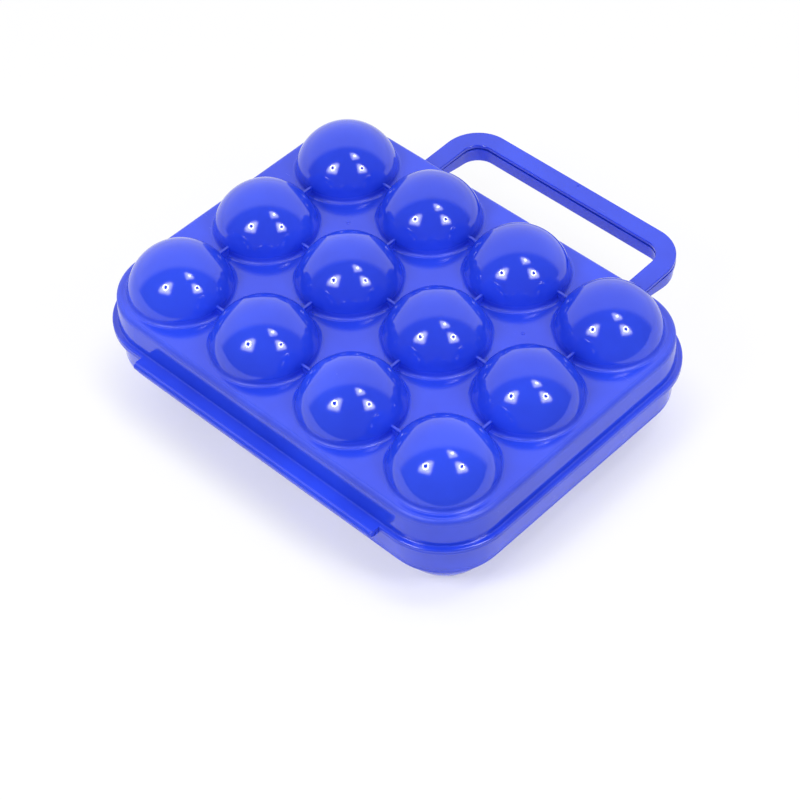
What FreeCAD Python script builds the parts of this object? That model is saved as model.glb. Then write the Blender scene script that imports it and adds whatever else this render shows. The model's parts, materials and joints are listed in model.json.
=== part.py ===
import FreeCAD
import Part
import math
import os

# Egg storage box: two moulded halves with twelve egg cups each, joined by a living hinge along
# one long side and carried by a handle that is split between the halves.
# Millimetres, +Z up, +X along the four-cup rows, +Y from the hinge to the handle.
# Shapes are drawn about the middle of the parting plane and set down on the floor at the end.

# Egg cups
COLUMNS = 4
ROWS = 3
SHEET = 1.3  # thickness of the moulded sheet
CUP_RADIUS = 22.1  # outside of the ball that shapes each cup
CUP_RISE = 20.0  # lid cup above its panel
FOOT_CUT = 2.3  # how much shorter than a lid cup its flat foot leaves a base cup
FOOT_ROUND = 4.0  # outside rounding between a base cup's ball and its foot
CUP_FILLET = 1.6  # outside fillet where a cup meets its panel
VALLEY_FLAT = 1.18  # flat panel left between the fillets of two neighbouring cups
RIB_THICKNESS = 1.0
RIB_HEIGHT = 4.0  # fins that tie neighbouring cups together

# Side walls and flanges
EDGE_FLAT = 0.68  # flat panel between the outermost cup's fillet and the rounded edge
EDGE_INNER_ROUND = 0.7  # inside rounding between panel and side wall
LID_WALL = 13.2  # flange to panel
BASE_WALL = 15.5
DRAFT = 4.3  # lean of the side walls, in degrees
FLANGE_WIDTH = 2.3
FLANGE_THICKNESS = 1.5
FLANGE_ROUND = 0.7
WALL_FOOT_FILLET = 0.6
PARTING_GAP = 0.2

# Living hinge
LEAF_LENGTH = 131.5
LEAF_REACH = 3.25  # flange edge to the line of the fold
LEAF_CORNER = 0.5  # rounding of the fold's two ends
FOLD_CLEARANCE = 0.15

# Handle
HANDLE_WIDTH = 122.0
HANDLE_REACH = 38.0  # flange edge to the far side of the grip
ARM_WIDTH = 8.8
BAR_WIDTH = 8.4
HANDLE_OUTER_CORNER = 17.0
HANDLE_INNER_CORNER = 8.0
GRIP_DEPTH = 7.5  # underside of the grip below the parting plane
ROOT_DEPTH = 4.2  # underside of the arms where they meet the box
GRIP_INSET = 0.7  # the grip's walls stand in from the edge of its flange
GRIP_WALL = 1.3
GRIP_ROUND = 1.2
GRIP_BEND = 30.0  # radius of the bend between the sloping arms and the level grip
PLATE_RISE = 1.2  # how far the lid's half stands up off the grip at its far side
PLATE_ROUND = 0.4  # upper edge of the lid's half

# Snap pegs under the lid's half of the handle
PEG_DIAMETER = 3.0
PEG_LENGTH = 5.0
PEG_TIP_ROUND = 0.75
PEG_SPACING = 56.0
PEG_CLEARANCE = 0.25
SOCKET_LENGTH = 8.0  # solid block in the grip round each peg's hole

# Sizes that follow
HALF_GAP = PARTING_GAP / 2
FLANGE_FACE = HALF_GAP + FLANGE_THICKNESS
CUP_SINK = CUP_RADIUS - CUP_RISE
CUP_DEPTH = CUP_RISE - FOOT_CUT
BRIM = math.sqrt((CUP_RADIUS + CUP_FILLET) ** 2 - (CUP_FILLET + CUP_SINK) ** 2)
PITCH = 2 * BRIM + VALLEY_FLAT
REACH_X = PITCH * (COLUMNS - 1) / 2
REACH_Y = PITCH * (ROWS - 1) / 2
SPLIT = BRIM + EDGE_FLAT / 2
LEAN = math.tan(math.radians(DRAFT))
EDGE_ROUND = EDGE_INNER_ROUND + SHEET
# Both halves have the same flange, so the deeper wall sets where the walls start
WALL_FOOT = BRIM + EDGE_FLAT + EDGE_ROUND + max(LID_WALL, BASE_WALL) * LEAN
FLANGE_EDGE = WALL_FOOT + FLANGE_WIDTH
LAND = WALL_FOOT + WALL_FOOT_FILLET
FOLD_RADIUS = FLANGE_FACE
FOLD_Y = -(REACH_Y + FLANGE_EDGE + LEAF_REACH)
GRIP_Y = REACH_Y + FLANGE_EDGE + HANDLE_REACH
LID_TOP = FLANGE_FACE + LID_WALL + CUP_RISE
BASE_BOTTOM = -(FLANGE_FACE + BASE_WALL + CUP_DEPTH)
SET_DOWN = FreeCAD.Vector(0, -(FOLD_Y - FOLD_RADIUS + GRIP_Y) / 2, -BASE_BOTTOM)

X_AXIS = FreeCAD.Vector(1, 0, 0)
Z_AXIS = FreeCAD.Vector(0, 0, 1)
ORIGIN = FreeCAD.Vector(0, 0, 0)
CORNERS = ((1, 1), (-1, 1), (-1, -1), (1, -1))
TINY = 1e-6  # points nearer than this are one point


def upright(u, v):
    """Point of a profile drawn in the XZ plane."""
    return FreeCAD.Vector(u, 0, v)


def side_on(u, v):
    """Point of a profile drawn in the YZ plane."""
    return FreeCAD.Vector(0, u, v)


def flat(u, v):
    """Point of an outline drawn in the XY plane."""
    return FreeCAD.Vector(u, v, 0)


def rounded_face(corners, place):
    """Face inside straight runs between corners (u, v, radius), each corner rounded to its radius."""
    points = [FreeCAD.Vector(u, v, 0) for u, v, _ in corners]
    joints = []
    for k, (_, _, radius) in enumerate(corners):
        corner = points[k]
        back = (points[k - 1] - corner).normalize()
        ahead = (points[(k + 1) % len(points)] - corner).normalize()
        half = back.getAngle(ahead) / 2
        run = radius / math.tan(half)
        inward = (back + ahead).normalize()
        middle = corner + inward * (radius / math.sin(half) - radius)
        joints.append((corner + back * run, middle, corner + ahead * run, radius))
    edges = []
    for k, (start, middle, end, radius) in enumerate(joints):
        if radius > 0:
            arc = Part.Arc(place(start.x, start.y), place(middle.x, middle.y), place(end.x, end.y))
            edges.append(arc.toShape())
        following = joints[(k + 1) % len(joints)][0]
        if end.distanceToPoint(following) > TINY:
            edges.append(Part.makeLine(place(end.x, end.y), place(following.x, following.y)))
    return Part.Face(Part.Wire(edges))


def prism(corners, low, high):
    """Upright prism on a rounded outline between two levels."""
    face = rounded_face(corners, flat)
    face.translate(FreeCAD.Vector(0, 0, low))
    return face.extrude(FreeCAD.Vector(0, 0, high - low))


def block(x0, x1, y0, y1, z0, z1):
    """Box between two corners."""
    return Part.makeBox(x1 - x0, y1 - y0, z1 - z0, FreeCAD.Vector(x0, y0, z0))


def around_the_box(profile):
    """Sweep a profile, drawn outward from a corner cup's axis, round all four sides and corners."""
    centres = [(x * REACH_X, y * REACH_Y) for x, y in CORNERS]
    runs = []
    for k, (x, y) in enumerate(centres):
        start = profile.copy()
        start.rotate(ORIGIN, Z_AXIS, 90 * k)
        start.translate(flat(x, y))
        runs.append(start.revolve(flat(x, y), Z_AXIS, 90))
        end = profile.copy()
        end.rotate(ORIGIN, Z_AXIS, 90 * (k + 1))
        end.translate(flat(x, y))
        next_x, next_y = centres[(k + 1) % len(centres)]
        runs.append(end.extrude(flat(next_x - x, next_y - y)))
    return runs[0].multiFuse(runs[1:]).removeSplitter()


def rim(sense, wall):
    """Flange, side wall and rounded edge of one half; sense is 1 for the lid and -1 for the base."""
    panel = FLANGE_FACE + wall
    edge = WALL_FOOT - wall * LEAN
    lean_in = SHEET / math.cos(math.radians(DRAFT))
    corners = [
        (SPLIT, panel, 0),
        (edge, panel, EDGE_ROUND),
        (WALL_FOOT, FLANGE_FACE, WALL_FOOT_FILLET),
        (FLANGE_EDGE, FLANGE_FACE, FLANGE_ROUND),
        (FLANGE_EDGE, HALF_GAP, 0),
        (WALL_FOOT + FLANGE_THICKNESS * LEAN - lean_in, HALF_GAP, 0),
        (edge + SHEET * LEAN - lean_in, panel - SHEET, EDGE_INNER_ROUND),
        (SPLIT, panel - SHEET, 0),
    ]
    profile = rounded_face([(u, sense * v, r) for u, v, r in corners], upright)
    return around_the_box(profile)


def cup_curve(inside, foot):
    """Points (r, z) of one face of a cup, from its axis to its brim, as arc triples and line pairs.

    inside is the distance in from the outer face, and foot the level of a flat foot, if any.
    """
    ball = FreeCAD.Vector(0, -CUP_SINK, 0)
    radius = CUP_RADIUS - inside
    fillet = FreeCAD.Vector(BRIM, CUP_FILLET, 0)
    fillet_radius = CUP_FILLET + inside
    to_fillet = (fillet - ball).normalize()
    brim = FreeCAD.Vector(BRIM, -inside, 0)
    shoulder = ball + to_fillet * radius
    down = FreeCAD.Vector(0, -1, 0)
    turn = (shoulder - fillet).normalize() + down
    pieces = []
    if foot is None:
        crown_way = FreeCAD.Vector(0, 1, 0)
        crown = ball + crown_way * radius
    else:
        level = foot - FOOT_ROUND
        across = math.sqrt((CUP_RADIUS - FOOT_ROUND) ** 2 - (level + CUP_SINK) ** 2)
        heel = FreeCAD.Vector(across, level, 0)
        heel_radius = FOOT_ROUND - inside
        crown_way = (heel - ball).normalize()
        crown = ball + crown_way * radius
        toe = heel + FreeCAD.Vector(0, heel_radius, 0)
        bend = heel + (crown_way + FreeCAD.Vector(0, 1, 0)).normalize() * heel_radius
        pieces.append((FreeCAD.Vector(0, foot - inside, 0), toe))
        pieces.append((toe, bend, crown))
    pieces.append((crown, ball + (crown_way + to_fillet).normalize() * radius, shoulder))
    pieces.append((shoulder, fillet + turn.normalize() * fillet_radius, brim))
    return pieces


def cup_skin(sense, foot):
    """Cup of even thickness, turned about its own axis with its panel's outer face at level 0."""
    outer = cup_curve(0, foot)
    inner = cup_curve(SHEET, foot)
    pieces = outer + inner + [(outer[0][0], inner[0][0]), (outer[-1][-1], inner[-1][-1])]
    edges = []
    for piece in pieces:
        points = [upright(p.x, sense * p.y) for p in piece]
        edges.append(Part.Arc(*points).toShape() if len(points) == 3 else Part.makeLine(*points))
    profile = Part.Face(Part.Wire(Part.__sortEdges__(edges)))
    return profile.revolve(ORIGIN, Z_AXIS, 360)


def cup_ribs(sense, column, row):
    """Halves of the fins that tie a cup to each of its neighbours, up to the edge of its square."""
    neighbours = [(column + 1 < COLUMNS, 0), (row + 1 < ROWS, 90), (column > 0, 180), (row > 0, 270)]
    skin_middle = Part.makeSphere(CUP_RADIUS - SHEET / 2, upright(0, -sense * CUP_SINK))
    low, high = sorted((0, sense * RIB_HEIGHT))
    ribs = []
    for present, turn in neighbours:
        if present:
            fin = block(0, PITCH / 2, -RIB_THICKNESS / 2, RIB_THICKNESS / 2, low, high)
            fin = fin.cut(skin_middle)
            fin.rotate(ORIGIN, Z_AXIS, turn)
            ribs.append(fin)
    return ribs


def cup_cell(sense, column, row, panel, foot):
    """One cup with its ribs and its own square of the panel."""
    x = column * PITCH - REACH_X
    y = row * PITCH - REACH_Y
    half_x = REACH_X + SPLIT
    half_y = REACH_Y + SPLIT
    low, high = sorted((panel, panel - sense * SHEET))
    outline = [(side_x * half_x, side_y * half_y, SPLIT) for side_x, side_y in CORNERS]
    x0 = x - PITCH / 2 if column > 0 else -half_x
    x1 = x + PITCH / 2 if column + 1 < COLUMNS else half_x
    y0 = y - PITCH / 2 if row > 0 else -half_y
    y1 = y + PITCH / 2 if row + 1 < ROWS else half_y
    square = prism(outline, low, high).common(block(x0, x1, y0, y1, low, high))
    square = square.cut(Part.makeCylinder(BRIM, high - low, FreeCAD.Vector(x, y, low)))
    cup = [cup_skin(sense, foot)] + cup_ribs(sense, column, row)
    for shape in cup:
        shape.translate(FreeCAD.Vector(x, y, panel))
    return square.multiFuse(cup).removeSplitter()


def leaf_block(low, high):
    """Plate of one hinge leaf, from the foot of the side wall to the line of the fold."""
    half = LEAF_LENGTH / 2
    return block(-half, half, FOLD_Y, -(REACH_Y + LAND), low, high)


def fold_rod(radius):
    """Rod along the fold of the living hinge."""
    return Part.makeCylinder(radius, LEAF_LENGTH, flat(-LEAF_LENGTH / 2, FOLD_Y), X_AXIS)


def lid_leaf():
    """Lid leaf of the living hinge, with the rounded fold at its edge."""
    rod = fold_rod(FOLD_RADIUS)
    ends = [edge for edge in rod.Edges if abs(edge.Length - 2 * math.pi * FOLD_RADIUS) < TINY]
    rod = rod.makeFillet(min(LEAF_CORNER, FOLD_RADIUS - HALF_GAP), ends)
    return leaf_block(HALF_GAP, FLANGE_FACE).fuse(rod).removeSplitter()


def base_leaf():
    """Base leaf of the living hinge, hollowed along its edge to turn round the fold."""
    return leaf_block(-FLANGE_FACE, -HALF_GAP).cut(fold_rod(FOLD_RADIUS + FOLD_CLEARANCE))


def handle_outline(inset, root):
    """Plan of the handle, drawn in by inset from its full outline, with its two roots at y = root."""
    outer = HANDLE_WIDTH / 2 - inset
    inner = HANDLE_WIDTH / 2 - ARM_WIDTH + inset
    far = GRIP_Y - inset
    near = GRIP_Y - BAR_WIDTH + inset
    outer_round = HANDLE_OUTER_CORNER - inset
    inner_round = HANDLE_INNER_CORNER + inset
    return [
        (-outer, root, 0), (-outer, far, outer_round), (outer, far, outer_round), (outer, root, 0),
        (inner, root, 0), (inner, near, inner_round), (-inner, near, inner_round), (-inner, root, 0),
    ]


def handle_plate(low, high):
    """Flange of one handle half, let into the flange of the box."""
    return prism(handle_outline(0, REACH_Y + LAND), low, high)


def across_handle(side):
    """Side view of a handle half, carried across the handle's whole width."""
    profile = rounded_face(side, side_on)
    profile.translate(flat(-HANDLE_WIDTH / 2, 0))
    return profile.extrude(flat(HANDLE_WIDTH, 0))


def grip_body(inset, wall):
    """Deep part of the lower handle half: its arms slope down from the box to the level grip."""
    root = REACH_Y + WALL_FOOT - ROOT_DEPTH * LEAN
    bend = GRIP_Y - HANDLE_OUTER_CORNER
    foot = REACH_Y + FLANGE_EDGE
    slope = (GRIP_DEPTH - ROOT_DEPTH) / (bend - foot)
    start = -ROOT_DEPTH + slope * (foot - root)
    side = [
        (root, -HALF_GAP, 0), (GRIP_Y, -HALF_GAP, 0), (GRIP_Y, wall - GRIP_DEPTH, 0),
        (bend, wall - GRIP_DEPTH, GRIP_BEND), (root, wall + start, 0),
    ]
    plan = prism(handle_outline(inset, root), -GRIP_DEPTH, -HALF_GAP)
    return plan.common(across_handle(side))


def outside_edges(body, sense):
    """Edges round a handle half's upper (sense 1) or lower (-1) side, apart from where it meets the box."""
    edges = []
    for face in body.Faces:
        u_low, u_high, v_low, v_high = face.ParameterRange
        if sense * face.normalAt((u_low + u_high) / 2, (v_low + v_high) / 2).z > TINY:
            edges.extend(face.Edges)
    outer = [edge for edge in edges if sum(edge.isSame(other) for other in edges) == 1]
    return [edge for edge in outer if edge.BoundBox.YMax > body.BoundBox.YMin + TINY]


def peg_places():
    """Middles of the two snap pegs, along the grip."""
    return [flat(side * PEG_SPACING / 2, GRIP_Y - BAR_WIDTH / 2) for side in (-1, 1)]


def base_handle(flange, box):
    """Lower half of the handle: its flange with a hollow grip under it, open at the parting plane."""
    body = grip_body(GRIP_INSET, 0)
    body = body.makeFillet(GRIP_ROUND, outside_edges(body, -1))
    hollow = grip_body(GRIP_INSET + GRIP_WALL, GRIP_WALL)
    half = SOCKET_LENGTH / 2
    across = BAR_WIDTH / 2
    hole = PEG_DIAMETER / 2 + PEG_CLEARANCE
    holes = []
    for place in peg_places():
        x, y, _ = place
        hollow = hollow.cut(block(x - half, x + half, y - across, y + across, -GRIP_DEPTH, 0))
        holes.append(Part.makeCylinder(hole, PEG_LENGTH + PEG_CLEARANCE, place, -Z_AXIS))
    return body.fuse(flange).cut([hollow, box] + holes).removeSplitter()


def lid_handle():
    """Upper half of the handle: a plate let into the lid's flange that rises a little to the grip."""
    joined = REACH_Y + FLANGE_EDGE - FLANGE_ROUND
    spans = (-HANDLE_WIDTH / 2, HANDLE_WIDTH / 2, REACH_Y + LAND, joined, HALF_GAP, FLANGE_FACE)
    landing = handle_plate(HALF_GAP, FLANGE_FACE).common(block(*spans))
    top = FLANGE_FACE + PLATE_RISE
    side = [
        (joined, HALF_GAP, 0), (GRIP_Y, HALF_GAP + PLATE_RISE, 0), (GRIP_Y, top, 0), (joined, FLANGE_FACE, 0),
    ]
    plate = prism(handle_outline(0, joined), HALF_GAP, top).common(across_handle(side))
    plate = plate.makeFillet(PLATE_ROUND, outside_edges(plate, 1))
    return plate.fuse(landing).removeSplitter()


def snap_peg(place, plate):
    """Peg with a rounded tip that hangs from the lid's handle plate and plugs into the grip."""
    seat = place + upright(0, HALF_GAP + PLATE_RISE)
    peg = Part.makeCylinder(PEG_DIAMETER / 2, HALF_GAP + PLATE_RISE + PEG_LENGTH, seat, -Z_AXIS)
    tip = [edge for edge in peg.Edges if edge.BoundBox.ZMax < -PEG_LENGTH + TINY]
    return peg.makeFillet(PEG_TIP_ROUND, tip).cut(plate)


def build():
    """Every piece of the box, by name."""
    pieces = {}
    leaves = {"base": base_leaf(), "lid": lid_leaf()}
    plates = {"base": handle_plate(-FLANGE_FACE, -HALF_GAP), "lid": handle_plate(HALF_GAP, FLANGE_FACE)}
    halves = [("base", -1, BASE_WALL, CUP_DEPTH), ("lid", 1, LID_WALL, None)]
    for name, sense, wall, foot in halves:
        pieces[name + "_rim"] = rim(sense, wall).cut([leaves[name], plates[name]])
        pieces[name + "_hinge_leaf"] = leaves[name]
        for row in range(ROWS):
            for column in range(COLUMNS):
                label = "%s_cup_row%d_column%d" % (name, row + 1, column + 1)
                pieces[label] = cup_cell(sense, column, row, sense * (FLANGE_FACE + wall), foot)
    pieces["base_handle"] = base_handle(plates["base"], pieces["base_rim"])
    pieces["lid_handle"] = lid_handle()
    for side, place in zip(("left", "right"), peg_places()):
        pieces["snap_peg_" + side] = snap_peg(place, pieces["lid_handle"])
    return pieces


os.makedirs("parts", exist_ok=True)
for piece_name, piece in build().items():
    piece.translate(SET_DOWN)
    piece.exportStep("parts/%s.step" % piece_name)
    report = (piece_name, len(piece.Solids), piece.isValid(), piece.Volume)
    print("%-28s solids %d  valid %s  volume %.1f" % report)
overall = (2 * (REACH_X + FLANGE_EDGE), GRIP_Y - FOLD_Y + FOLD_RADIUS, LID_TOP - BASE_BOTTOM)
print("pitch %.2f, overall %.1f x %.1f x %.1f" % ((PITCH,) + overall))
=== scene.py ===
"""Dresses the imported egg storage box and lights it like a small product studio.

Everything is in metres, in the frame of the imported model: +X along the long rows of cups, +Y from the hinge
to the handle, +Z up, with the floor at zero.
"""
from __future__ import annotations

import json
import logging
import math
from dataclasses import dataclass, field
from enum import Enum
from typing import Any

import bmesh
import bpy
from mathutils import Matrix, Vector


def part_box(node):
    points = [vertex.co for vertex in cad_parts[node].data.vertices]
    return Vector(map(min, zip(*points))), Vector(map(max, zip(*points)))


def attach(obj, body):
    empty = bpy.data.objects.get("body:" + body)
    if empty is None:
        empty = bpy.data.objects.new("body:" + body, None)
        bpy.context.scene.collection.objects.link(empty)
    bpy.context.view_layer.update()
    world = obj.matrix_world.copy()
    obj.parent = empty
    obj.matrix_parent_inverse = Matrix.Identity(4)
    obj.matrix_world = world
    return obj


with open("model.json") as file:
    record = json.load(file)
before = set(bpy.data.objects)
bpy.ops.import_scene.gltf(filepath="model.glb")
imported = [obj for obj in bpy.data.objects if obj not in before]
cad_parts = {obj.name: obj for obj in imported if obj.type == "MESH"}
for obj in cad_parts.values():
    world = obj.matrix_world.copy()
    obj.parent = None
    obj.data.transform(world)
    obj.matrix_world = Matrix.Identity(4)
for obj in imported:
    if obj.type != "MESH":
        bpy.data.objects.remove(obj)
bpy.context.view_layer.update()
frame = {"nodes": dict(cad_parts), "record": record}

LOG = logging.getLogger("egg_box")
MM = 0.001

Colour = tuple[float, float, float]
Stretch = tuple[float, float, float]
Span = tuple[float, float]
WHITE: Colour = (1.0, 1.0, 1.0)
BLACK: Colour = (0.0, 0.0, 0.0)
UP = Vector((0, 0, 1))


class Half(Enum):
    """The two halves of the box, named as the bodies they ride on."""

    BASE = "base"
    LID = "lid"

    @property
    def outward(self) -> int:
        """1 where the half's cups point up and -1 where they point down."""
        return 1 if self is Half.LID else -1

    def panel(self) -> float:
        """Level of the half's panel, which its cups stand on."""
        low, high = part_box(self.value + "_rim")
        return high[2] if self is Half.LID else low[2]


def middle() -> Vector:
    """Finds the middle of the box at its parting line.

    Returns:
        The point, half way between the two rims.
    """
    base_low, base_high = (Vector(corner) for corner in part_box("base_rim"))
    lid_low = Vector(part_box("lid_rim")[0])
    centre = (base_low + base_high) / 2
    return Vector((centre.x, centre.y, (base_high.z + lid_low.z) / 2))


class Signal:
    """A shader socket that can be used in sums, differences and products."""

    def __init__(self, graph: Graph, socket: bpy.types.NodeSocket | None) -> None:
        """Wraps one output socket of a graph's node."""
        self.graph = graph
        self.socket = socket

    def _math(self, operation: str, first: Any, second: Any) -> Signal:
        """Adds one Math node.

        Args:
            operation: The Math node's operation.
            first: Left value or signal.
            second: Right value or signal.

        Returns:
            The node's result.
        """
        return self.graph.node("ShaderNodeMath", {"operation": operation}, {0: first, 1: second})

    def __add__(self, other: Any) -> Signal:
        """Sum with a number or signal."""
        return self._math("ADD", self, other)

    def __radd__(self, other: Any) -> Signal:
        """Sum with a number on the left."""
        return self._math("ADD", other, self)

    def __sub__(self, other: Any) -> Signal:
        """Difference from a number or signal."""
        return self._math("SUBTRACT", self, other)

    def __rsub__(self, other: Any) -> Signal:
        """Difference with a number on the left."""
        return self._math("SUBTRACT", other, self)

    def __mul__(self, other: Any) -> Signal:
        """Product with a number or signal."""
        return self._math("MULTIPLY", self, other)

    def __rmul__(self, other: Any) -> Signal:
        """Product with a number on the left."""
        return self._math("MULTIPLY", other, self)

    def __neg__(self) -> Signal:
        """The value with its sign turned."""
        return self._math("MULTIPLY", self, -1.0)

    def __abs__(self) -> Signal:
        """The value without its sign."""
        return self.graph.node("ShaderNodeMath", {"operation": "ABSOLUTE"}, {0: self})


class Graph:
    """Builds the nodes of one material or light, or of the world."""

    # Socket numbers of a Mix node that mixes colours.
    MIX_FACTOR = 0
    MIX_FIRST = 6
    MIX_SECOND = 7
    MIX_RESULT = 2

    def __init__(self, owner: bpy.types.Material | bpy.types.World | bpy.types.Light) -> None:
        """Starts an empty node tree.

        Args:
            owner: The material, world or light that gets it.
        """
        owner.use_nodes = True
        self.tree = owner.node_tree
        self.tree.nodes.clear()

    def node(self, kind: str, settings: dict[str, Any], inputs: dict[Any, Any], output: Any = 0) -> Signal:
        """Adds one node.

        Args:
            kind: The node's type.
            settings: Its properties, set first.
            inputs: Values or signals by socket name or number.
            output: Name or number of the socket to hand back.

        Returns:
            The chosen output as a signal.
        """
        node = self.tree.nodes.new(kind)
        for name, value in settings.items():
            setattr(node, name, value)
        for key, value in inputs.items():
            if isinstance(value, Signal):
                self.tree.links.new(value.socket, node.inputs[key])
            else:
                node.inputs[key].default_value = value
        return Signal(self, node.outputs[output] if node.outputs else None)

    def smooth_step(self, value: Signal, span: Span) -> Signal:
        """Value that eases from 0 at the span's first end to 1 at its second."""
        inputs = {"Value": value, "From Min": span[0], "From Max": span[1]}
        return self.node("ShaderNodeMapRange", {"interpolation_type": "SMOOTHSTEP"}, inputs)

    def mix_colour(self, factor: Any, first: Any, second: Any) -> Signal:
        """Colour between two colours."""
        inputs = {self.MIX_FACTOR: factor, self.MIX_FIRST: first, self.MIX_SECOND: second}
        return self.node("ShaderNodeMix", {"data_type": "RGBA"}, inputs, self.MIX_RESULT)

    def vector(self, operation: str, first: Any, second: Any = None, output: str = "Vector") -> Signal:
        """Adds one Vector Math node.

        Args:
            operation: The node's operation.
            first: First vector or signal.
            second: Second one, where the operation takes two.
            output: Name of the socket to hand back.

        Returns:
            The node's result.
        """
        inputs = {0: first} if second is None else {0: first, 1: second}
        return self.node("ShaderNodeVectorMath", {"operation": operation}, inputs, output)

    def ray(self, kind: str) -> Signal:
        """1 on rays of one kind, by its name in the Light Path node, and 0 on others."""
        return self.node("ShaderNodeLightPath", {}, {}, kind)

    def noise(self, position: Signal, scale: float, detail: float) -> Signal:
        """Cloudy value about one half."""
        inputs = {"Vector": position, "Scale": scale, "Detail": detail}
        return self.node("ShaderNodeTexNoise", {}, inputs, "Fac")


def opaque(colour: Colour) -> tuple[float, float, float, float]:
    """The colour with full alpha, as colour sockets want it."""
    return (*colour, 1.0)


@dataclass(frozen=True)
class MouldedPlastic:
    """Self-coloured polypropylene from the mould: polished cups, dull fillets, glossy walls and handle."""

    name: str
    colour: Colour = (0.021, 0.062, 0.745)
    deep_colour: Colour = (0.016, 0.047, 0.635)
    dust_colour: Colour = (0.30, 0.36, 0.85)
    polished: float = 0.038
    glossy: float = 0.11
    dull: float = 0.46
    fillet_span: Span = (0.05 * MM, 0.30 * MM)
    edge_span: Span = (2.4 * MM, 3.4 * MM)
    polish_span: Span = (1.8 * MM, 3.6 * MM)
    specular: float = 0.70
    ior: float = 1.49
    flow_scale: float = 22.0
    flow_detail: float = 3.0
    flow_span: Span = (0.35, 0.68)
    mottle_scale: float = 260.0
    mottle_detail: float = 4.0
    mottle_middle: float = 0.4
    mottle_roughness: float = 0.03
    ripple_scale: float = 95.0
    ripple_detail: float = 1.5
    ripple_height: float = 0.020 * MM
    scuff_scale: float = 1500.0
    scuff_detail: float = 2.0
    scuff_stretch: Stretch = (0.05, 1.0, 0.6)
    scuff_span: Span = (0.66, 0.74)
    scuff_roughness: float = 0.22
    worn_scale: float = 48.0
    worn_detail: float = 2.0
    worn_span: Span = (0.50, 0.66)
    speck_scale: float = 300.0
    speck_span: Span = (0.02, 0.06)
    speck_strength: float = 0.5
    dusty_scale: float = 75.0
    dusty_detail: float = 1.0
    dusty_span: Span = (0.62, 0.70)

    def material(self, half: Half) -> bpy.types.Material:
        """Builds the finish of one half.

        Args:
            half: The half, whose cups are polished from just above its panel.

        Returns:
            The finished material.
        """
        material = bpy.data.materials.new("%s_%s" % (self.name, half.value))
        graph = Graph(material)
        position = graph.node("ShaderNodeTexCoord", {}, {}, "Object")
        flow = graph.smooth_step(graph.noise(position, self.flow_scale, self.flow_detail), self.flow_span)
        mottle = graph.noise(position, self.mottle_scale, self.mottle_detail) - self.mottle_middle
        scuffs = self._scuffs(graph, position)
        colour = graph.mix_colour(flow, opaque(self.deep_colour), opaque(self.colour))
        colour = graph.mix_colour(self._dust(graph, position), colour, opaque(self.dust_colour))
        ripple = graph.noise(position, self.ripple_scale, self.ripple_detail)
        bump_inputs = {"Height": ripple, "Distance": self.ripple_height, "Strength": 1.0}
        normal = graph.node("ShaderNodeBump", {}, bump_inputs, "Normal")
        height = graph.node("ShaderNodeSeparateXYZ", {}, {"Vector": position}, "Z")
        proud = (height - half.panel()) * half.outward
        polish = graph.smooth_step(proud, self.polish_span)
        fillet = graph.smooth_step(proud, self.fillet_span) * (1 - polish)
        edge = graph.smooth_step(-proud, self.fillet_span) * (1 - graph.smooth_step(-proud, self.edge_span))
        even = self.glossy + (self.polished - self.glossy) * polish
        even = even + (self.dull - self.glossy) * (fillet + edge)
        roughness = even + self.mottle_roughness * mottle + self.scuff_roughness * scuffs
        shader = graph.node("ShaderNodeBsdfPrincipled", {}, {
            "Base Color": colour, "Roughness": roughness, "Normal": normal,
            "IOR": self.ior, "Specular IOR Level": self.specular,
        })
        graph.node("ShaderNodeOutputMaterial", {}, {"Surface": shader})
        return material

    def _scuffs(self, graph: Graph, position: Signal) -> Signal:
        """Thin hairline scuffs in a few patches.

        Args:
            graph: The material's graph.
            position: Place on the piece, in metres.

        Returns:
            1 on a scuff and 0 elsewhere.
        """
        drawn_out = graph.vector("MULTIPLY", position, self.scuff_stretch)
        hairs = graph.noise(drawn_out, self.scuff_scale, self.scuff_detail)
        lines = graph.smooth_step(hairs, self.scuff_span)
        worn = graph.smooth_step(graph.noise(position, self.worn_scale, self.worn_detail), self.worn_span)
        return lines * worn

    def _dust(self, graph: Graph, position: Signal) -> Signal:
        """Sparse pale specks.

        Args:
            graph: The material's graph.
            position: Place on the piece, in metres.

        Returns:
            How much of the dust's colour shows.
        """
        inputs = {"Vector": position, "Scale": self.speck_scale}
        cells = graph.node("ShaderNodeTexVoronoi", {"feature": "F1"}, inputs, "Distance")
        specks = 1 - graph.smooth_step(cells, self.speck_span)
        dusty = graph.smooth_step(graph.noise(position, self.dusty_scale, self.dusty_detail), self.dusty_span)
        return self.speck_strength * specks * dusty


@dataclass
class Moulding:
    """One moulded half of the box: its solids keep their shapes and take the finish."""

    half: Half
    finish: MouldedPlastic

    def nodes(self) -> list[str]:
        """Names of the half's solids."""
        return frame["record"]["behaviour"]["bodies"][self.half.value]

    def dress(self) -> list[bpy.types.Object]:
        """Puts the finish on every solid of the half.

        Returns:
            The dressed objects.
        """
        material = self.finish.material(self.half)
        dressed = []
        for name in self.nodes():
            solid = frame["nodes"][name]
            solid.data.materials.clear()
            solid.data.materials.append(material)
            dressed.append(solid)
        return dressed


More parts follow.
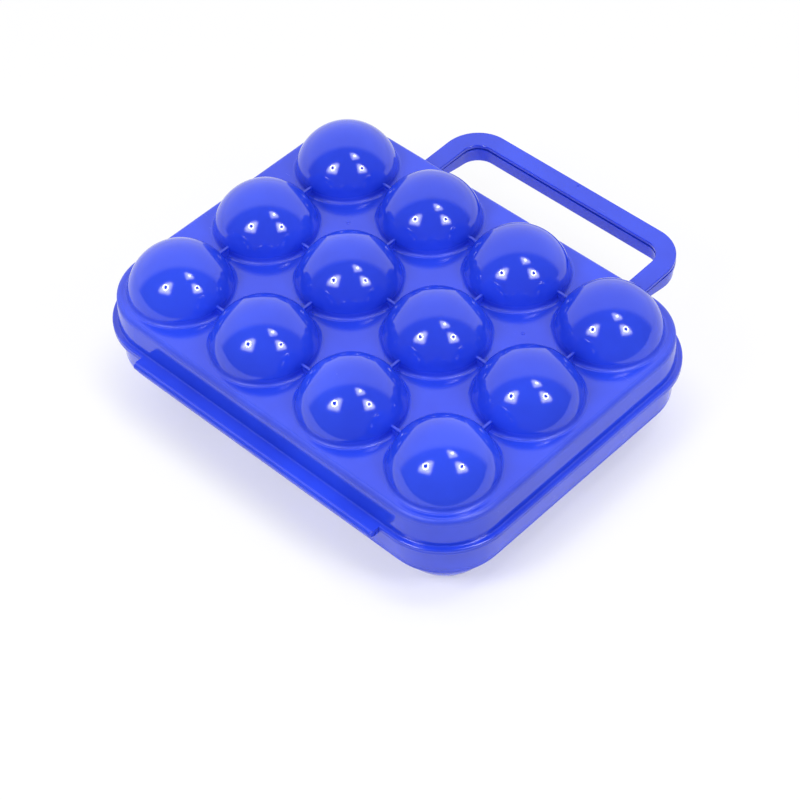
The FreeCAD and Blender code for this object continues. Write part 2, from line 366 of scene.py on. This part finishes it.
@dataclass
class GatePips:
    """Low round pips where the lid's plastic was fed into the mould."""

    material: bpy.types.Material
    width: float = 1.5 * MM
    height: float = 0.35 * MM
    handle_width: float = 0.8 * MM
    handle_inset: float = 1.6 * MM
    segments: int = 24
    rings: int = 12
    beside: tuple[str, ...] = ("lid_cup_row2_column1", "lid_cup_row2_column3")

    def build(self) -> list[bpy.types.Object]:
        """Adds a pip at the far corner of each named cup's square and one on the handle.

        Returns:
            The pips.
        """
        pips = []
        for number, node in enumerate(self.beside, start=1):
            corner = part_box(node)[1]
            place = Vector((corner[0], corner[1], Half.LID.panel()))
            pips.append(self._pip("panel_pip_%d" % number, place, self.width))
        low, high = (Vector(corner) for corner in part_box("lid_handle"))
        place = Vector(((low.x + high.x) / 2, high.y - self.handle_inset, high.z))
        pips.append(self._pip("handle_pip", place, self.handle_width))
        return pips

    def _pip(self, name: str, place: Vector, width: float) -> bpy.types.Object:
        """Adds one pip.

        Args:
            name: The piece's name.
            place: Middle of its foot.
            width: Its width.

        Returns:
            The pip.
        """
        shape = bmesh.new()
        bmesh.ops.create_uvsphere(
            shape, u_segments=self.segments, v_segments=self.rings, radius=width / 2)
        flatten = Matrix.Diagonal((1.0, 1.0, 2 * self.height / width, 1.0))
        bmesh.ops.transform(shape, matrix=Matrix.Translation(place) @ flatten, verts=shape.verts)
        for face in shape.faces:
            face.smooth = True
        mesh = bpy.data.meshes.new(name)
        shape.to_mesh(mesh)
        shape.free()
        mesh.materials.append(self.material)
        pip = bpy.data.objects.new(name, mesh)
        bpy.context.scene.collection.objects.link(pip)
        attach(pip, Half.LID.value)
        return pip


def plain_material(name: str, colour: Colour) -> bpy.types.Material:
    """Builds a matt material of one colour, for the studio.

    Args:
        name: The material's name.
        colour: Its colour.

    Returns:
        The material.
    """
    material = bpy.data.materials.new(name)
    graph = Graph(material)
    shader = graph.node("ShaderNodeBsdfDiffuse", {}, {"Color": opaque(colour)})
    graph.node("ShaderNodeOutputMaterial", {}, {"Surface": shader})
    return material


@dataclass
class Lamp:
    """A studio lamp: a bright round bowl with a dark head, before a dimmer three-cornered cloth.

    The fade and the cut are measured on the cloth's square, whose side is 1 and whose middle is 0.
    """

    name: str
    place: Vector
    bowl_width: float
    bowl_radiance: float
    cloth_width: float
    cloth_radiance: float
    head_width: float
    turn: float
    head_colour: Colour = (0.03, 0.03, 0.03)
    head_segments: int = 32
    fade: Span = (0.18, 0.5)
    cut: Span = (0.05, 0.45)
    spacing: float = 5 * MM

    def build(self, target: Vector) -> None:
        """Adds the lamp.

        Args:
            target: The point that it is aimed at.
        """
        aim = (target - self.place).to_track_quat("-Z", "Y").to_matrix().to_4x4()
        stand = Matrix.Translation(self.place) @ aim @ Matrix.Rotation(self.turn, 4, "Z")
        cloth_area = self.cloth_width ** 2
        cloth = self._light("cloth", "SQUARE", self.cloth_width, self.cloth_radiance * cloth_area, stand)
        self._soften(cloth)
        bowl_area = math.pi * self.bowl_width ** 2 / 4
        before = stand @ Matrix.Translation((0, 0, -self.spacing))
        self._light("bowl", "DISK", self.bowl_width, self.bowl_radiance * bowl_area, before)
        if self.head_width > 0:
            self._head(before @ Matrix.Translation((0, 0, -self.spacing)))

    def _light(self, part: str, shape: str, width: float, flux: float, stand: Matrix) -> bpy.types.Light:
        """Adds one light of the lamp.

        Args:
            part: The light's name within the lamp.
            shape: SQUARE or DISK.
            width: Side or diameter.
            flux: Radiance times area.
            stand: Place and aim.

        Returns:
            The light's data.
        """
        name = "%s_%s" % (self.name, part)
        data = bpy.data.lights.new(name, "AREA")
        data.shape = shape
        data.size = width
        data.energy = flux * math.pi
        light = bpy.data.objects.new(name, data)
        light.matrix_world = stand
        bpy.context.scene.collection.objects.link(light)
        return data

    def _soften(self, cloth: bpy.types.Light) -> None:
        """Makes the cloth fade towards its border and takes off one corner.

        Args:
            cloth: The cloth's light.
        """
        graph = Graph(cloth)
        half_side = 0.5
        place = graph.node("ShaderNodeNewGeometry", {}, {}, "Parametric")
        along = graph.node("ShaderNodeSeparateXYZ", {}, {"Vector": place}, "X") - half_side
        across = graph.node("ShaderNodeSeparateXYZ", {}, {"Vector": place}, "Y") - half_side
        lit = 1 - graph.smooth_step(abs(along), self.fade)
        lit = lit * (1 - graph.smooth_step(abs(across), self.fade))
        lit = lit * (1 - graph.smooth_step(along - across, self.cut))
        colour = graph.mix_colour(lit, opaque(BLACK), opaque(WHITE))
        glow = graph.node("ShaderNodeEmission", {}, {"Color": colour, "Strength": 1.0})
        graph.node("ShaderNodeOutputLight", {}, {"Surface": glow})

    def _head(self, stand: Matrix) -> None:
        """Adds the dark head before the middle of the bowl.

        Args:
            stand: Place and aim.
        """
        shape = bmesh.new()
        bmesh.ops.create_circle(
            shape, cap_ends=True, segments=self.head_segments, radius=self.head_width / 2, matrix=stand)
        mesh = bpy.data.meshes.new(self.name + "_head")
        shape.to_mesh(mesh)
        shape.free()
        mesh.materials.append(plain_material(self.name + "_metal", self.head_colour))
        head = bpy.data.objects.new(self.name + "_head", mesh)
        bpy.context.scene.collection.objects.link(head)


@dataclass
class Studio:
    """Pale floor, pale surroundings behind the box, dimmer ones before it, and three lamps."""

    hub: Vector
    target: Vector
    behind: Vector
    floor_front: float = 0.235
    floor_back: float = 4.0
    floor_half_width: float = 3.0
    floor_colour: Colour = (0.91, 0.91, 0.99)
    # Painted shadow: the floor's own white glow is weaker near the box, so its shadow reads darker and
    # tighter there.
    glow_near: float = 0.37
    glow_far: float = 0.90
    glow_corner: float = 25 * MM
    glow_span: Span = (-6 * MM, 20 * MM)
    back_light: float = 1.15
    front_light: float = 0.22
    back_span: Span = (0.0, 0.26)
    below_span: Span = (-0.55, -0.40)
    left_offset: Vector = field(default_factory=lambda: Vector((-54, -689, 704)) * MM)
    right_offset: Vector = field(default_factory=lambda: Vector((776, 45, 701)) * MM)
    top_offset: Vector = field(default_factory=lambda: Vector((402, 124, 1193)) * MM)

    def build(self) -> None:
        """Adds the world, the floor and the lamps."""
        self._world()
        self._floor()
        for lamp in self._lamps():
            lamp.build(self.target)

    def _lamps(self) -> list[Lamp]:
        """Sets out two lamps low at the sides and one high up, without a head.

        Returns:
            The lamps.
        """
        left = Lamp(
            "lamp_left", self.hub + self.left_offset, bowl_width=0.22, bowl_radiance=17.5,
            cloth_width=0.58, cloth_radiance=9.5, head_width=0.12, turn=math.radians(200),
        )
        right = Lamp(
            "lamp_right", self.hub + self.right_offset, bowl_width=0.20, bowl_radiance=17.5,
            cloth_width=0.52, cloth_radiance=9.5, head_width=0.11, turn=math.radians(65),
        )
        top = Lamp(
            "lamp_top", self.hub + self.top_offset, bowl_width=0.13, bowl_radiance=15.0,
            cloth_width=0.50, cloth_radiance=7.0, head_width=0.0, turn=math.radians(45),
        )
        return [left, right, top]

    def _world(self) -> None:
        """Surroundings that are white behind the box and dimmer on the camera's side."""
        world = bpy.data.worlds.new("studio")
        bpy.context.scene.world = world
        graph = Graph(world)
        direction = graph.node("ShaderNodeTexCoord", {}, {}, "Generated")
        depth = graph.vector("DOT_PRODUCT", direction, self.behind, "Value")
        pale = graph.smooth_step(depth, self.back_span)
        level = self.front_light + (self.back_light - self.front_light) * pale
        rise = graph.node("ShaderNodeSeparateXYZ", {}, {"Vector": direction}, "Z")
        below = 1 - graph.smooth_step(rise, self.below_span)
        mirrored = graph.ray("Is Glossy Ray") + graph.ray("Is Transmission Ray")
        shown = graph.ray("Is Camera Ray") + mirrored * below
        strength = shown + (1 - shown) * level
        light = graph.node("ShaderNodeBackground", {}, {"Color": opaque(WHITE), "Strength": strength})
        graph.node("ShaderNodeOutputWorld", {}, {"Surface": light})

    def _floor(self) -> None:
        """Plain pale floor, part of whose white is its own glow so that the background stays white; the glow
        is weaker near the box, which paints a darker, tighter shadow there.
        """
        across = self.behind.cross(UP) * self.floor_half_width
        front = Vector((self.hub.x, self.hub.y, 0)) - self.behind * self.floor_front
        back = front + self.behind * (self.floor_front + self.floor_back)
        mesh = bpy.data.meshes.new("floor")
        mesh.from_pydata([front - across, front + across, back + across, back - across], [], [(0, 1, 2, 3)])
        floor = bpy.data.objects.new("floor", mesh)
        bpy.context.scene.collection.objects.link(floor)
        material = bpy.data.materials.new("floor_paper")
        graph = Graph(material)
        paper = graph.node("ShaderNodeBsdfDiffuse", {}, {"Color": opaque(self.floor_colour)})
        white = graph.node("ShaderNodeEmission", {}, {"Color": opaque(WHITE), "Strength": 1.0})
        shown = graph.ray("Is Camera Ray") + graph.ray("Is Glossy Ray") + graph.ray("Is Transmission Ray")
        # The floor's own glow, weaker near the box, paints the shadow around it darker and tighter.
        glow = shown * self._shadow_painting_glow(graph)
        shader = graph.node("ShaderNodeMixShader", {}, {0: glow, 1: paper, 2: white})
        graph.node("ShaderNodeOutputMaterial", {}, {"Surface": shader})
        mesh.materials.append(material)

    def _shadow_painting_glow(self, graph: Graph) -> Signal:
        """How much of the floor's white is its own glow, which grows with the distance from the box and so
        paints a darker, tighter shadow next to it.

        Args:
            graph: The floor's graph.

        Returns:
            The share, from 0 to 1.
        """
        low, high = (Vector(corner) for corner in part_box("base_rim"))
        centre = Vector(((low.x + high.x) / 2, (low.y + high.y) / 2, 0))
        inset = Vector((self.glow_corner, self.glow_corner, 0))
        half = Vector(((high.x - low.x) / 2, (high.y - low.y) / 2, 0)) - inset
        place = graph.node("ShaderNodeTexCoord", {}, {}, "Object")
        from_centre = graph.vector("ABSOLUTE", graph.vector("SUBTRACT", place, centre))
        beside = graph.vector("MAXIMUM", graph.vector("SUBTRACT", from_centre, half), Vector())
        away = graph.vector("LENGTH", beside, output="Value") - self.glow_corner
        return self.glow_near + (self.glow_far - self.glow_near) * graph.smooth_step(away, self.glow_span)


@dataclass
class PhotoCamera:
    """Camera at the photograph's place, with its slight roll."""

    hub: Vector
    eye_offset: Vector = field(default_factory=lambda: Vector((479.35, -468.51, 691.09)) * MM)
    target_offset: Vector = field(default_factory=lambda: Vector((19.32, -17.35, -10.92)) * MM)
    roll: float = math.radians(-2.914)
    lens: float = 107.42
    sensor: float = 36.0

    @property
    def target(self) -> Vector:
        """Point that the camera looks at."""
        return self.hub + self.target_offset

    def forward(self) -> Vector:
        """Viewing direction."""
        return (self.target_offset - self.eye_offset).normalized()

    def build(self) -> bpy.types.Object:
        """Adds the camera and makes it the scene's.

        Returns:
            The camera's object.
        """
        ahead = self.forward()
        eye = self.hub + self.eye_offset
        level = ahead.cross(UP).normalized()
        upright = level.cross(ahead)
        right = level * math.cos(self.roll) + upright * math.sin(self.roll)
        up = upright * math.cos(self.roll) - level * math.sin(self.roll)
        data = bpy.data.cameras.new("camera")
        data.lens = self.lens
        data.sensor_width = self.sensor
        camera = bpy.data.objects.new("camera", data)
        camera.matrix_world = Matrix((
            (right.x, up.x, -ahead.x, eye.x),
            (right.y, up.y, -ahead.y, eye.y),
            (right.z, up.z, -ahead.z, eye.z),
            (0, 0, 0, 1),
        ))
        bpy.context.scene.collection.objects.link(camera)
        bpy.context.scene.camera = camera
        return camera


def main() -> None:
    """Dresses the box, then sets up the studio and the camera."""
    logging.basicConfig(level=logging.INFO, format="%(message)s")
    bpy.context.scene.view_settings.view_transform = "Standard"
    plastic = MouldedPlastic("blue_plastic")
    pieces = []
    for half in Half:
        pieces += Moulding(half, plastic).dress()
    lid_finish = pieces[-1].data.materials[0]
    pieces += GatePips(lid_finish).build()
    for piece in pieces:
        LOG.info("piece %s", piece.name)
    hub = middle()
    camera = PhotoCamera(hub)
    ahead = camera.forward()
    Studio(hub, camera.target, Vector((ahead.x, ahead.y, 0)).normalized()).build()
    camera.build()


if __name__ == "__main__":
    main()
